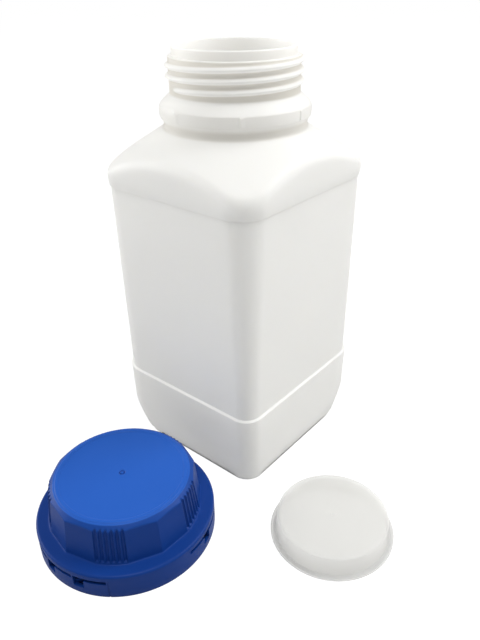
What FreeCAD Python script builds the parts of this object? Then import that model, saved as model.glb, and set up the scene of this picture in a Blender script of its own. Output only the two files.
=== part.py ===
import FreeCAD, Part
import math
import os

# A one-litre square bottle with a wide neck, its screw cap and its inner plug.
# The bottle stands on its base. The cap has been taken off and lies mouth down in front of it,
# and the plug lies beside it with its flange down. All sizes are in millimetres, +Z is up, and
# the origin is the centre of the bottle's base.

# Body of the bottle
body_width = 85.6              # across the faces that look along X
body_depth = 90.0              # across the faces that look along Y
corner_radius = 13.0           # front and back corners, at the shoulder
low_corner_radius = 8.5        # front and back corners, from the base to the lower band's ledge
side_corner_radius = 12.0      # the corners on the mould's parting line, at the shoulder
band_corner_radius = 14.0      # the same corners, at the lower band's ledge
cheek_corner_radius = 16.0     # where they start to curve in
foot_corner_radius = 26.5      # and at the table
cheek_height = 12.5            # height over which they curve in
least_corner_radius = 3.0      # no corner is drawn tighter than this
wall = 1.4
base_thickness = 1.9
base_edge_radius = 1.0
base_inside_radius = 2.5
base_push_up = 1.6             # the middle of the base stands this far clear of the table
foot_width = 8.0               # rim that the bottle stands on, with its rounded edge
push_up_slope = 3.0            # width of the slope from the rim to the raised middle
base_band_height = 35.0        # full-width band below the side panels
base_ledge_height = 0.7
panel_recess = 1.0             # the panels lie this much inside the bands
panel_height = 93.3            # from the lower band to the shoulder band
top_ledge_height = 0.25
top_ledge_width = 0.55
shoulder_band_lead = 4.5       # height over which the shoulder band swells to full width
shoulder_rise = 24.0           # from the foot of the shoulder band to the neck band
shoulder_angle = 31.5          # slope of the shoulder cone from the horizontal
shoulder_round = 7.0           # soft edge between the shoulder and the faces

# Neck of the bottle, from the mouth outwards and from the shoulder upwards
neck_bore_radius = 24.4
neck_wall = 2.2                # wall of the neck band and of the collar
lip_wall = 1.7
thread_root_step = 1.55        # the root of the thread stands this far outside the lip
neck_band_step = 3.35          # from the root of the thread out to the neck band
collar_step = 1.6              # from the neck band out to the face of the collar
neck_band_height = 2.5
collar_flare_height = 2.4
collar_face_height = 4.4
collar_slope_height = 4.3
collar_edge_round = 0.8
thread_zone_height = 14.7      # from the collar to the ledge above the last turn
lip_ledge_slope = 0.4
lip_height = 3.7
lip_round = 0.6

# Thread of the neck, one start, right hand
thread_pitch = 4.15
thread_depth = 1.55
thread_base_width = 2.7
thread_crest_width = 1.1
thread_start_rise = 3.1        # from the collar to the first turn
thread_start_angle = -95.0
thread_turns = 2.5
thread_sink = 0.3              # the ridge is rooted this deep in the wall that carries it
thread_fade_angle = 26.0       # each end of the ridge sinks away over this angle
thread_fade_shares = (1.0, 0.8, 0.45, 0.12)

# Ratchet teeth on the collar, which hold the ring of the closed cap
tooth_tip_step = 0.6           # the tips stand this far outside the collar
tooth_land_step = 0.1
tooth_root_sink = 0.6          # the ramps end this deep in the collar
tooth_land_angle = 3.4
tooth_pitch = 49.5             # angle between the teeth of one mould half
teeth_per_half = 3
tooth_centre_angle = -46.5     # middle tooth of the front mould half

# Screw cap, as it lies mouth down
cap_x = 15.0
cap_y = -94.8
cap_turn = -52.0               # direction that the middle of one grip group looks in
cap_crown_thickness = 1.8
cap_edge_width = 1.5           # sloping edge round the crown
cap_bevel_angle = 42.0
cap_grip_wall = 1.4            # wall at the grooves, level with the crown
cap_lip_clearance = 1.9        # room round the lip of the neck, above the thread
cap_lip_room_height = 4.8
cap_thread_clearance = 0.4
cap_thread_depth = 1.5
cap_thread_turns = 1.8
cap_thread_start_rise = 1.6    # from the rim to the first turn
cap_rim_height = 11.4          # top of the wide rim
cap_rim_slope = 0.5
cap_rim_thickness = 1.7
cap_rim_round = 1.2
cap_skirt_clearance = 2.9      # room between the skirt and the tips of the ratchet teeth
cap_skirt_wall = 1.5
cap_foot_chamfer = 0.4

# Grip of the cap
grip_groups = 5
grip_grooves = 6
grip_height = 17.7             # from the rim to the crown
grip_group_angle = 23.0
crease_step = 0.6              # two flats meet this far outside the grooves' circle
grip_draft = 1.3               # the grip is this much wider at the rim
groove_pitch_angle = 3.85
groove_width = 1.5
groove_depth = 0.7
groove_foot = 1.3              # the grooves end this far above the rim

# Tamper-evident skirt of the cap
window_steps = 16              # equal steps round the skirt
plain_steps = 3                # steps with no window, where the ring is torn open
window_angle = 7.2
window_bottom = 2.8
window_top = 8.3
slot_height = 1.8
slot_lead_angle = 15.5         # a slot runs this far on from each window
bridge_angle = 1.2             # web left between a slot and the next window
window_offset = -20.2          # last window, measured from the middle grip group
seam_width = 0.45
seam_depth = 0.5
pawl_length = 6.0
pawl_thickness = 0.9
pawl_bottom = 0.8
pawl_height = 4.2
pawl_root_angle = 4.5          # from the middle of a window to the root of its pawl
pawl_engagement = 0.5          # the tips of the pawls reach this far inside the tooth tips

# Top of the cap
crown_ring_inset = 3.2         # from the sloping edge in to the shallow ring
crown_ring_width = 0.5
crown_ring_depth = 0.25
gate_radius = 0.9
gate_height = 0.3

# Inner plug, as it lies flange down
plug_x = 86.5
plug_y = -42.95
plug_height = 9.25
plug_wall = 1.1
plug_clearance = 0.1
plug_draft = 0.95
plug_flange_overlap = 1.8      # the flange reaches this far over the edge of the bore
plug_flange_thickness = 1.3
plug_flange_round = 0.4
plug_edge_round = 0.6

# Sizes that follow from the ones above
panel_top = base_band_height + panel_height
neck_base_height = panel_top + shoulder_rise
collar_bottom = neck_base_height + neck_band_height
collar_face_bottom = collar_bottom + collar_flare_height
collar_face_top = collar_face_bottom + collar_face_height
collar_top = collar_face_top + collar_slope_height
thread_start_height = collar_top + thread_start_rise
lip_ledge_height = collar_top + thread_zone_height
neck_height = lip_ledge_height + lip_height
lip_radius = neck_bore_radius + lip_wall
thread_root_radius = lip_radius + thread_root_step
thread_crest_radius = thread_root_radius + thread_depth
neck_band_radius = thread_root_radius + neck_band_step
collar_radius = neck_band_radius + collar_step
tooth_tip_radius = collar_radius + tooth_tip_step
tooth_land_radius = collar_radius + tooth_land_step
tooth_root_radius = collar_radius - tooth_root_sink
cap_height = cap_rim_height + grip_height
cap_bore_radius = thread_crest_radius + cap_thread_clearance
cap_lip_room_radius = lip_radius + cap_lip_clearance
cap_lip_room_bottom = cap_height - cap_crown_thickness - cap_lip_room_height
grip_radius = cap_bore_radius + cap_grip_wall
crease_radius = grip_radius + crease_step
cap_crown_radius = grip_radius - cap_edge_width
crown_ring_radius = cap_crown_radius - crown_ring_inset
cap_skirt_radius = tooth_tip_radius + cap_skirt_clearance + cap_skirt_wall
overshoot = 1.0                # cutters reach this far past what they cut
tolerance = 0.01


def vec(x, y, z):
    return FreeCAD.Vector(x, y, z)


def polar(radius, angle, height):
    """Point at a radius and an angle in degrees about Z."""
    turn = math.radians(angle)
    return vec(radius * math.cos(turn), radius * math.sin(turn), height)


def outline_face(points):
    """Flat face inside a closed outline of (radius, height) points in the XZ plane."""
    corners = [vec(radius, 0, height) for radius, height in points]
    return Part.Face(Part.makePolygon(corners + corners[:1]))


def revolved(points, angle=360.0):
    """Solid of revolution about Z from a closed outline of (radius, height) points."""
    return outline_face(points).revolve(vec(0, 0, 0), vec(0, 0, 1), angle)


def turned(shape, angle):
    """Copy of a shape turned about Z."""
    copy = shape.copy()
    copy.rotate(vec(0, 0, 0), vec(0, 0, 1), angle)
    return copy


def ring_edges(shape, radius, height):
    """Circular edges about Z with this radius, at this height."""
    found = []
    for edge in shape.Edges:
        if not isinstance(edge.Curve, Part.Circle):
            continue
        same_radius = abs(edge.Curve.Radius - radius) < tolerance
        if same_radius and abs(edge.Curve.Center.z - height) < tolerance:
            found.append(edge)
    return found


def between(height, points):
    """Value at a height, read off the straight lines between (height, value) points."""
    for (low, low_value), (high, high_value) in zip(points[:-1], points[1:]):
        if height < high:
            share = max(0.0, (height - low) / (high - low))
            return low_value + share * (high_value - low_value)
    return points[-1][1]


def corner_radii(height):
    """Radii of the side corners and of the front and back corners, at one height."""
    side = between(height, [
        (0.0, foot_corner_radius),
        (cheek_height, cheek_corner_radius),
        (base_band_height, band_corner_radius),
        (panel_top, side_corner_radius),
    ])
    front = between(height, [(base_band_height, low_corner_radius), (panel_top, corner_radius)])
    return side, front


def section(inset, height):
    """Rounded rectangle of the body at one height, drawn inwards by an inset."""
    half_x = body_width / 2 - inset
    half_y = body_depth / 2 - inset
    arcs = []
    for side_x, side_y, start in ((1, 1, 0), (-1, 1, 90), (-1, -1, 180), (1, -1, 270)):
        on_parting_line = side_x == side_y
        side, front = corner_radii(height)
        radius = max((side if on_parting_line else front) - inset, least_corner_radius)
        centre = vec(side_x * (half_x - radius), side_y * (half_y - radius), height)
        arcs.append([centre + polar(radius, start + turn, 0) for turn in (0, 45, 90)])
    edges = []
    for number, (first, middle, last) in enumerate(arcs):
        following = arcs[(number + 1) % len(arcs)]
        edges.append(Part.Arc(first, middle, last).toShape())
        edges.append(Part.makeLine(last, following[0]))
    return Part.Wire(edges)


def stack(levels, inset=0.0):
    """Body built up from rounded rectangles, each (height, inset) joined to the next."""
    slices = []
    for (low, low_inset), (high, high_inset) in zip(levels[:-1], levels[1:]):
        lower = section(low_inset + inset, low)
        upper = section(high_inset + inset, high)
        slices.append(Part.makeLoft([lower, upper], True, True))
    if len(slices) == 1:
        return slices[0]
    return slices[0].fuse(slices[1:]).removeSplitter()


def cone_under(top_height):
    """Everything from the panels up to the shoulder cone, whose top edge is at the neck band."""
    foot = neck_band_radius + (top_height - panel_top) / math.tan(math.radians(shoulder_angle))
    return revolved([
        (0, panel_top - overshoot),
        (foot, panel_top - overshoot),
        (foot, panel_top),
        (neck_band_radius, top_height),
        (0, top_height),
    ])


def shoulder_form(inset):
    """Closed form of the shoulder band and the shoulder, with the soft edge between them."""
    shoulder_top = neck_base_height - inset / math.cos(math.radians(shoulder_angle))
    block = stack([(panel_top, 0.0), (neck_base_height + overshoot, 0.0)], inset)
    capped = block.common(cone_under(shoulder_top))
    soft_edges = []
    for edge in capped.Edges:
        chord = edge.Vertexes[0].Point.distanceToPoint(edge.Vertexes[-1].Point)
        curved = edge.Length > chord * (1 + tolerance / body_depth)
        climbs = edge.BoundBox.ZLength > tolerance
        if curved and climbs and edge.BoundBox.ZMin > panel_top:
            soft_edges.append(edge)
    capped = capped.makeFillet(shoulder_round - inset, soft_edges)
    band_bottom = panel_top + top_ledge_height
    band = stack([
        (panel_top, panel_recess),
        (band_bottom, panel_recess - top_ledge_width),
        (band_bottom + shoulder_band_lead, 0.0),
        (neck_base_height, 0.0),
    ], inset)
    return band.common(capped)


def body_form(inset, bottom, edge_radius):
    """Closed form of the whole body, drawn inwards by an inset."""
    lower = stack([
        (bottom, 0.0),
        (cheek_height, 0.0),
        (base_band_height - base_ledge_height, 0.0),
        (base_band_height, panel_recess),
        (panel_top, panel_recess),
    ], inset)
    foot_edges = [edge for edge in lower.Edges if edge.BoundBox.ZMax < bottom + tolerance]
    lower = lower.makeFillet(edge_radius, foot_edges)
    return lower.fuse(shoulder_form(inset)).removeSplitter()


def base_hollow():
    """Shallow hollow under the base, which leaves a flat rim to stand on."""
    return stack([
        (-overshoot, foot_width - overshoot * push_up_slope / base_push_up),
        (0.0, foot_width),
        (base_push_up, foot_width + push_up_slope),
    ])


def ridge_profile(root, crest, angle, height, share):
    """Outline of a thread ridge at one angle, with a share of its full height."""
    outward = 1 if crest > root else -1
    top = root + (crest - root) * share
    half_base = thread_base_width / 2
    half_crest = thread_crest_width / 2 + (half_base - thread_crest_width / 2) * (1 - share) / 2
    flank = (half_base - half_crest) / (abs(crest - root) * share)
    half_foot = half_base + flank * thread_sink
    foot = root - outward * thread_sink
    points = [(foot, -half_foot), (top, -half_crest), (top, half_crest), (foot, half_foot)]
    corners = [polar(radius, angle, height + offset) for radius, offset in points]
    return Part.makePolygon(corners + corners[:1])


def fading_end(root, crest, angle, height, side):
    """Loft that lets the end of a ridge sink into its wall, before or after the given angle."""
    profiles = []
    for number, share in enumerate(thread_fade_shares):
        turn = side * thread_fade_angle * number / (len(thread_fade_shares) - 1)
        rise = thread_pitch * turn / 360
        profiles.append(ridge_profile(root, crest, angle + turn, height + rise, share))
    return Part.makeLoft(profiles, True, False)


def thread_ridge(root, crest, start_height, turns):
    """Helical ridge that starts at angle 0, with both ends faded out."""
    path = Part.makeHelix(thread_pitch, thread_pitch * turns, root)
    path.translate(vec(0, 0, start_height))
    sweep = Part.BRepOffsetAPI.MakePipeShell(Part.Wire(path))
    sweep.setBiNormalMode(vec(0, 0, 1))
    sweep.add(ridge_profile(root, crest, 0.0, start_height, 1.0))
    sweep.build()
    sweep.makeSolid()
    end_height = start_height + thread_pitch * turns
    return [
        sweep.shape(),
        fading_end(root, crest, 0.0, start_height, -1),
        fading_end(root, crest, 360 * turns, end_height, 1),
    ]


def tooth_outline(centre):
    """Plan of the ratchet teeth of one mould half: each land falls away in a long ramp."""
    first = centre - tooth_pitch * (teeth_per_half - 1) / 2
    edges = []
    start = polar(tooth_root_radius, first, 0)
    origin = vec(0, 0, 0)
    edges.append(Part.makeLine(origin, start))
    for number in range(teeth_per_half):
        angle = first + tooth_pitch * number
        tip = polar(tooth_tip_radius, angle, 0)
        land_end = polar(tooth_land_radius, angle + tooth_land_angle, 0)
        ramp_angle = angle + (tooth_pitch + tooth_land_angle) / 2
        ramp_middle = polar((tooth_land_radius + tooth_root_radius) / 2, ramp_angle, 0)
        ramp_end = polar(tooth_root_radius, angle + tooth_pitch, 0)
        edges.append(Part.makeLine(start, tip))
        edges.append(Part.makeLine(tip, land_end))
        edges.append(Part.Arc(land_end, ramp_middle, ramp_end).toShape())
        start = ramp_end
    edges.append(Part.makeLine(start, origin))
    return Part.Wire(edges)


def neck_core():
    """Neck band, collar, thread root and lip, without thread and teeth."""
    below = neck_base_height - overshoot
    core = revolved([
        (0, below),
        (neck_band_radius, below),
        (neck_band_radius, collar_bottom),
        (collar_radius, collar_face_bottom),
        (collar_radius, collar_face_top),
        (thread_root_radius, collar_top),
        (thread_root_radius, lip_ledge_height - lip_ledge_slope),
        (lip_radius, lip_ledge_height),
        (lip_radius, neck_height),
        (0, neck_height),
    ])
    core = core.makeFillet(lip_round, ring_edges(core, lip_radius, neck_height))
    rims = ring_edges(core, collar_radius, collar_face_top)
    rims += ring_edges(core, collar_radius, collar_face_bottom)
    return core.makeFillet(collar_edge_round, rims)


def threaded_neck():
    """Neck with its ridge, turned together so that the ridge starts where the real one does."""
    ridge = thread_ridge(
        thread_root_radius, thread_crest_radius, thread_start_height, thread_turns)
    return turned(neck_core().fuse(ridge), thread_start_angle)


def ratchet_ring():
    """The ratchet teeth, cut to the slopes above and below the collar."""
    slope_top = (collar_radius - thread_root_radius) / (collar_top - collar_face_top)
    slope_bottom = (collar_radius - neck_band_radius) / (collar_face_bottom - collar_bottom)
    reach = tooth_tip_radius + overshoot
    envelope = revolved([
        (0, collar_bottom),
        (neck_band_radius, collar_bottom),
        (reach, collar_bottom + (reach - neck_band_radius) / slope_bottom),
        (reach, collar_top - (reach - thread_root_radius) / slope_top),
        (thread_root_radius, collar_top),
        (0, collar_top),
    ])
    halves = []
    for half_turn in (0, 180):
        plan = Part.Face(tooth_outline(tooth_centre_angle + half_turn))
        plan.translate(vec(0, 0, collar_bottom))
        halves.append(plan.extrude(vec(0, 0, collar_top - collar_bottom)).common(envelope))
    return halves


def neck_bore():
    """Round bore of the neck, which widens under the collar and again into the shoulder."""
    shoulder_inside = neck_base_height - wall / math.cos(math.radians(shoulder_angle))
    band_inside = neck_band_radius - neck_wall
    collar_inside = collar_radius - neck_wall
    return revolved([
        (0, shoulder_inside - overshoot),
        (band_inside, shoulder_inside - overshoot),
        (band_inside, collar_bottom),
        (collar_inside, collar_face_bottom),
        (collar_inside, collar_face_top - neck_wall),
        (neck_bore_radius, collar_top - neck_wall),
        (neck_bore_radius, neck_height + overshoot),
        (0, neck_height + overshoot),
    ])


def make_bottle():
    outside = body_form(0.0, 0.0, base_edge_radius).fuse([threaded_neck()] + ratchet_ring())
    floor = base_push_up + base_thickness
    inside = body_form(wall, floor, base_inside_radius).fuse(neck_bore())
    return outside.cut([inside, base_hollow()]).removeSplitter()


def grip_plan(height, growth):
    """Plan of the grip at one height: arcs at the groups, and two flats between them."""
    step = 360 / grip_groups
    half_group = grip_group_angle / 2
    edges = []
    for number in range(grip_groups):
        middle = step * number
        start = polar(grip_radius + growth, middle - half_group, height)
        centre = polar(grip_radius + growth, middle, height)
        end = polar(grip_radius + growth, middle + half_group, height)
        crease = polar(crease_radius + growth, middle + step / 2, height)
        following = polar(grip_radius + growth, middle + step - half_group, height)
        edges.append(Part.Arc(start, centre, end).toShape())
        edges.append(Part.makeLine(end, crease))
        edges.append(Part.makeLine(crease, following))
    return Part.Wire(edges)


def grip_body():
    """Upper part of the cap, with its flats and its sloping edge round the crown."""
    low = cap_rim_height - cap_rim_thickness / 2
    plans = [grip_plan(low, grip_draft), grip_plan(cap_height, 0.0)]
    flats = Part.makeLoft(plans, True, True)
    reach = crease_radius + grip_draft + overshoot
    bevel_drop = (reach - cap_crown_radius) * math.tan(math.radians(cap_bevel_angle))
    envelope = revolved([
        (0, low),
        (reach, low),
        (reach, cap_height - bevel_drop),
        (cap_crown_radius, cap_height),
        (0, cap_height),
    ])
    return flats.common(envelope)


def grip_groove(angle):
    """Cutter for one upright groove, which leans out with the draft of the grip."""
    foot = cap_rim_height + groove_foot
    lean = math.degrees(math.atan(grip_draft / (cap_height - cap_rim_height)))
    cutter = Part.makeCylinder(groove_width / 2, cap_height, vec(0, 0, 0), vec(0, 0, 1))
    cutter.rotate(vec(0, 0, 0), vec(0, 1, 0), -lean)
    foot_share = (cap_height - foot) / (cap_height - cap_rim_height)
    centre = grip_radius + grip_draft * foot_share + groove_width / 2 - groove_depth
    cutter.translate(vec(centre, 0, foot))
    return turned(cutter, angle)


def grip_grooves_all():
    cutters = []
    for group in range(grip_groups):
        for number in range(grip_grooves):
            offset = (number - (grip_grooves - 1) / 2) * groove_pitch_angle
            cutters.append(grip_groove(360 / grip_groups * group + offset))
    return cutters


def rim_and_skirt():
    """Wide rim with the tamper-evident skirt that hangs from it."""
    inner = cap_skirt_radius - cap_skirt_wall
    rim_inner_height = cap_rim_height + cap_rim_slope
    ring = revolved([
        (thread_root_radius, cap_rim_height - cap_rim_thickness),
        (inner, cap_rim_height - cap_rim_thickness),
        (inner, 0),
        (cap_skirt_radius - cap_foot_chamfer, 0),
        (cap_skirt_radius, cap_foot_chamfer),
        (cap_skirt_radius, cap_rim_height),
        (thread_root_radius, rim_inner_height),
    ])
    return ring.makeFillet(cap_rim_round, ring_edges(ring, cap_skirt_radius, cap_rim_height))


def skirt_sector(start, sweep_angle, low, high):
    """Cutter for an opening through the skirt, from a start angle over a sweep."""
    near = cap_skirt_radius - cap_skirt_wall - overshoot
    far = cap_skirt_radius + overshoot
    return turned(revolved([(near, low), (far, low), (far, high), (near, high)], sweep_angle), start)


def window_centres():
    """Angles of the windows, counted back from the last one, with the plain steps left out."""
    step = 360 / window_steps
    return [window_offset - step * number for number in range(window_steps - plain_steps)]


def skirt_cuts():
    """Windows, the slots between them, and the seam where the ring is torn open."""
    cuts = []
    slot_low = window_top - slot_height
    half = window_angle / 2
    centres = window_centres()
    slot_angle = slot_lead_angle - bridge_angle
    for centre in centres:
        cuts.append(skirt_sector(centre - half, window_angle, window_bottom, window_top))
        cuts.append(skirt_sector(centre + half, slot_angle, slot_low, window_top))
    before_first = centres[-1] - half - slot_angle
    cuts.append(skirt_sector(before_first, slot_angle, slot_low, window_top))
    seam_angle = centres[0] + half + slot_lead_angle
    seam = Part.makeBox(seam_depth + overshoot, seam_width, window_top)
    seam.translate(vec(cap_skirt_radius - seam_depth, -seam_width / 2, 0))
    cuts.append(turned(seam, seam_angle))
    return cuts


def skirt_pawls():
    """Springy fingers inside the windows, slanting inwards to catch the teeth."""
    inner = cap_skirt_radius - cap_skirt_wall
    tip_radius = tooth_tip_radius - pawl_engagement
    slant = math.degrees(math.asin((inner - tip_radius) / pawl_length))
    pawls = []
    for centre in window_centres():
        pawl = Part.makeBox(pawl_thickness, pawl_length, pawl_height)
        pawl.translate(vec(-pawl_thickness, 0, 0))
        pawl.rotate(vec(0, 0, 0), vec(0, 0, 1), slant)
        pawl.translate(vec(inner + pawl_thickness / 2, 0, pawl_bottom))
        pawls.append(turned(pawl, centre - pawl_root_angle))
    return pawls


def cap_inside():
    """Space inside the grip, stepped for the lip of the neck above the thread."""
    step = cap_bore_radius - cap_lip_room_radius
    under_crown = cap_height - cap_crown_thickness
    return revolved([
        (0, -overshoot),
        (cap_bore_radius, -overshoot),
        (cap_bore_radius, cap_lip_room_bottom - step),
        (cap_lip_room_radius, cap_lip_room_bottom),
        (cap_lip_room_radius, under_crown),
        (0, under_crown),
    ])


def crown_marks():
    """Shallow ring in the crown, and the moulding gate in its middle."""
    floor = cap_height - crown_ring_depth
    above = cap_height + overshoot
    outer = crown_ring_radius + crown_ring_width
    ring = revolved([
        (crown_ring_radius, floor), (outer, floor), (outer, above), (crown_ring_radius, above)])
    gate = revolved([
        (0, cap_height - cap_crown_thickness / 2),
        (gate_radius, cap_height - cap_crown_thickness / 2),
        (gate_radius, cap_height),
        (gate_radius / 2, cap_height + gate_height),
        (0, cap_height + gate_height),
    ])
    return ring, gate


def make_cap():
    ring_groove, gate = crown_marks()
    body = grip_body().fuse(rim_and_skirt())
    body = body.cut([cap_inside(), ring_groove] + grip_grooves_all() + skirt_cuts())
    ridge = thread_ridge(
        cap_bore_radius,
        cap_bore_radius - cap_thread_depth,
        cap_rim_height + cap_thread_start_rise,
        cap_thread_turns,
    )
    body = body.fuse(skirt_pawls() + ridge + [gate]).removeSplitter()
    body = turned(body, cap_turn)
    body.translate(vec(cap_x, cap_y, 0))
    return body


def make_plug():
    root = neck_bore_radius - plug_clearance
    tip = root - plug_draft
    flange = neck_bore_radius + plug_flange_overlap
    plug = revolved([
        (0, 0),
        (flange, 0),
        (flange, plug_flange_thickness),
        (root, plug_flange_thickness),
        (tip, plug_height),
        (0, plug_height),
    ])
    plug = plug.makeFillet(plug_edge_round, ring_edges(plug, tip, plug_height))
    rim = ring_edges(plug, flange, plug_flange_thickness)
    plug = plug.makeFillet(plug_flange_round, rim)
    hollow = revolved([
        (0, -overshoot),
        (root - plug_wall, -overshoot),
        (root - plug_wall, plug_flange_thickness),
        (tip - plug_wall, plug_height - plug_wall),
        (0, plug_height - plug_wall),
    ])
    plug = plug.cut(hollow)
    plug.translate(vec(plug_x, plug_y, 0))
    return plug


def one_solid(shape):
    """The single solid of a shape."""
    return shape.Solids[0] if len(shape.Solids) == 1 else shape


os.makedirs("parts", exist_ok=True)
pieces = {
    "bottle": make_bottle(),
    "screw_cap": make_cap(),
    "inner_plug": make_plug(),
}
for name, shape in pieces.items():
    solid = one_solid(shape)
    solid.exportStep(os.path.join("parts", name + ".step"))
    print(name, len(shape.Solids), "solid", round(solid.Volume / 1000, 2), "ml of plastic", solid.isValid())
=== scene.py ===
# %% [markdown]
# # A white one-litre bottle, its blue screw cap and its inner plug
# Three mouldings make this object: a square bottle blown from white polyethylene, a glossy blue
# cap with a tear-off skirt, and a small milky plug. Each is worked out here as rings of points
# about its own axis, because that is how the real tools are cut: a profile carried round, with
# flats, ribs, teeth and a thread added to it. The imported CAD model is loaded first, as the frame
# that every piece has to fit.

# %% Load the fixed frame
import math

import bmesh
import bpy
import numpy as np
from mathutils import Matrix, Vector


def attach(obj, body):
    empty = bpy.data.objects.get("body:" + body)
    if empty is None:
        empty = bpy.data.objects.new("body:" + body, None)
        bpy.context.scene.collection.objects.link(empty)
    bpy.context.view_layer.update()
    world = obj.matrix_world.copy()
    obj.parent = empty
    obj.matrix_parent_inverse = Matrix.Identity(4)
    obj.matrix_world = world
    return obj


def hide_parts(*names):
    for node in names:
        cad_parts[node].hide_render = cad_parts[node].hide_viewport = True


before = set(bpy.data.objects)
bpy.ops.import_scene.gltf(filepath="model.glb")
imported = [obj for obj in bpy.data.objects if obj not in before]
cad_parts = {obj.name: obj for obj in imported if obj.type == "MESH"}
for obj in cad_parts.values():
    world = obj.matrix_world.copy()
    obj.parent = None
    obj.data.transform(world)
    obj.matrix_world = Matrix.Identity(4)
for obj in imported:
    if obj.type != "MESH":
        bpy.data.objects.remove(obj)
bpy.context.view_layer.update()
print("nodes:", sorted(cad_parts))

# %% [markdown]
# ## From grids of points to a mesh
# A surface here is a grid: one row for each step along the profile and one column for each angle.
# Working it out as whole arrays keeps the formulas short and lets many columns crowd round a small
# tooth while few cover a plain stretch. Grids that meet share their edge points, so welding the
# points closes the shell. Rows that shrink to a point, as at a pole, weld into triangles.

# %% The mesh helper
MM = 0.001


def grid_faces(rows, columns, first):
    """Corners of the faces of a grid whose points are numbered row by row from first."""
    corner = first + np.arange(rows * columns).reshape(rows, columns)
    around = [corner[:-1, :-1], corner[:-1, 1:], corner[1:, 1:], corner[1:, :-1]]
    return np.stack(around, axis=-1)


print("faces in a grid of 3 by 4 points:", grid_faces(3, 4, 0).size // 4)


def make_piece(name, grids, extra_faces=(), sharp=38.0):
    """Object from grids of points in mm, each an array (rows, columns, 3), with an optional mask
    (rows - 1, columns - 1) of the faces to keep. Extra faces join points by their numbers."""
    points, faces, first = [], [], 0
    for grid, kept in grids:
        rows, columns = grid.shape[:2]
        cells = grid_faces(rows, columns, first)
        faces.append(cells[kept] if kept is not None else cells.reshape(-1, 4))
        points.append(grid.reshape(-1, 3))
        first += rows * columns
    faces = np.concatenate(faces + [np.asarray(extra).reshape(-1, 4) for extra in extra_faces])
    mesh = bpy.data.meshes.new(name)
    mesh.from_pydata((np.concatenate(points) * MM).tolist(), [], faces.tolist())
    shell = bmesh.new()
    shell.from_mesh(mesh)
    bmesh.ops.remove_doubles(shell, verts=shell.verts, dist=3e-6)
    bmesh.ops.recalc_face_normals(shell, faces=shell.faces)
    open_edges = sum(1 for edge in shell.edges if len(edge.link_faces) != 2)
    shell.to_mesh(mesh)
    shell.free()
    mesh.polygons.foreach_set("use_smooth", np.ones(len(mesh.polygons), dtype=bool))
    mesh.set_sharp_from_angle(angle=math.radians(sharp))
    piece = bpy.data.objects.new(name, mesh)
    bpy.context.scene.collection.objects.link(piece)
    triangles = sum(len(face.vertices) - 2 for face in mesh.polygons)
    print(name, "triangles:", triangles, "edges without two faces:", open_edges)
    return piece


def around_axis(radius, height, angle, centre=(0.0, 0.0)):
    """Points (x, y, z) from arrays of radius and height over rows and columns, and the angle of
    each column in degrees: x = radius * cos(angle), y = radius * sin(angle)."""
    turn = np.radians(np.broadcast_to(angle, radius.shape))
    x = centre[0] + radius * np.cos(turn)
    y = centre[1] + radius * np.sin(turn)
    return np.stack([x, y, np.broadcast_to(height, radius.shape)], axis=-1)


# %% [markdown]
# ## Profiles with soft corners
# Moulded plastic has no knife edges. A profile is written as a polygon of (radius, height) corners
# with a setback at each corner, and the corner between the two setbacks is a quadratic curve. The
# radius of a corner may be an array over the angle, so one call gives the profile at every angle.

# %% The profile helper
def blend(low, high, value):
    """0 below low, 1 above high, and 3t^2 - 2t^3 between them."""
    t = np.clip((value - low) / (high - low), 0.0, 1.0)
    return t * t * (3.0 - 2.0 * t)


print("a quarter of the way along, a soft step has risen by", float(blend(0.0, 1.0, 0.25)))


def soft_profile(corners, columns):
    """Rows of radius and height along a polygon. A corner is (radius, height, setback, steps,
    rows after it). Its rounding is (1-t)^2 * start + 2t(1-t) * corner + t^2 * end."""
    places = np.stack([
        np.stack([np.broadcast_to(np.asarray(part, float), columns) for part in corner[:2]])
        for corner in corners])
    ways = places[1:] - places[:-1]
    lengths = np.maximum(np.hypot(ways[:, 0], ways[:, 1]), 1e-9)
    ways = ways / lengths[:, None, :]
    rows, leave, first_rows = [], places[0], []
    for number, (_, _, setback, steps, after) in enumerate(corners):
        last = number == len(corners) - 1
        reach = np.broadcast_to(np.asarray(setback, float), columns)
        arrive = places[number] if number == 0 else places[number] - ways[number - 1] * reach
        start = leave
        if number > 0:
            between = corners[number - 1][4]
            for share in (np.arange(between) + 1) / (between + 1):
                rows.append(start + (arrive - start) * share)
        first_rows.append(len(rows))
        leave = places[number] if last or number == 0 else places[number] + ways[number] * reach
        for t in (np.linspace(0, 1, steps + 1) if steps else [0.0]):
            rows.append((1 - t) ** 2 * arrive + 2 * t * (1 - t) * places[number] + t * t * leave)
    rows = np.array(rows)
    return rows[:, 0], rows[:, 1], first_rows


# %% [markdown]
# ## The bottle: a square body with soft corners
# The body is a rectangle with round corners, seen from above. Its distance from the axis has a
# plain formula, so the same rings can run from the square body up to the round neck. The front
# and back corners get sharper downwards. The two on the mould's parting line curve in at the foot,
# where the mould pinched the plastic. Two thin ledges mark where the side panels lie a millimetre
# inside the bands at the foot and the shoulder.

# %% The body's outline
BODY_X, BODY_Y = 85.6, 90.0
WALL = 1.4
PANEL_RECESS = 1.0
BAND_TOP = 35.0
PANEL_TOP = 128.3
FOOT_CURVE = 14.0
SHOULDER_SLOPE = math.radians(31.5)
SHOULDER_ROUND = 7.0
NECK_BASE = 152.3
NECK_BAND = 31.0


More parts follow.
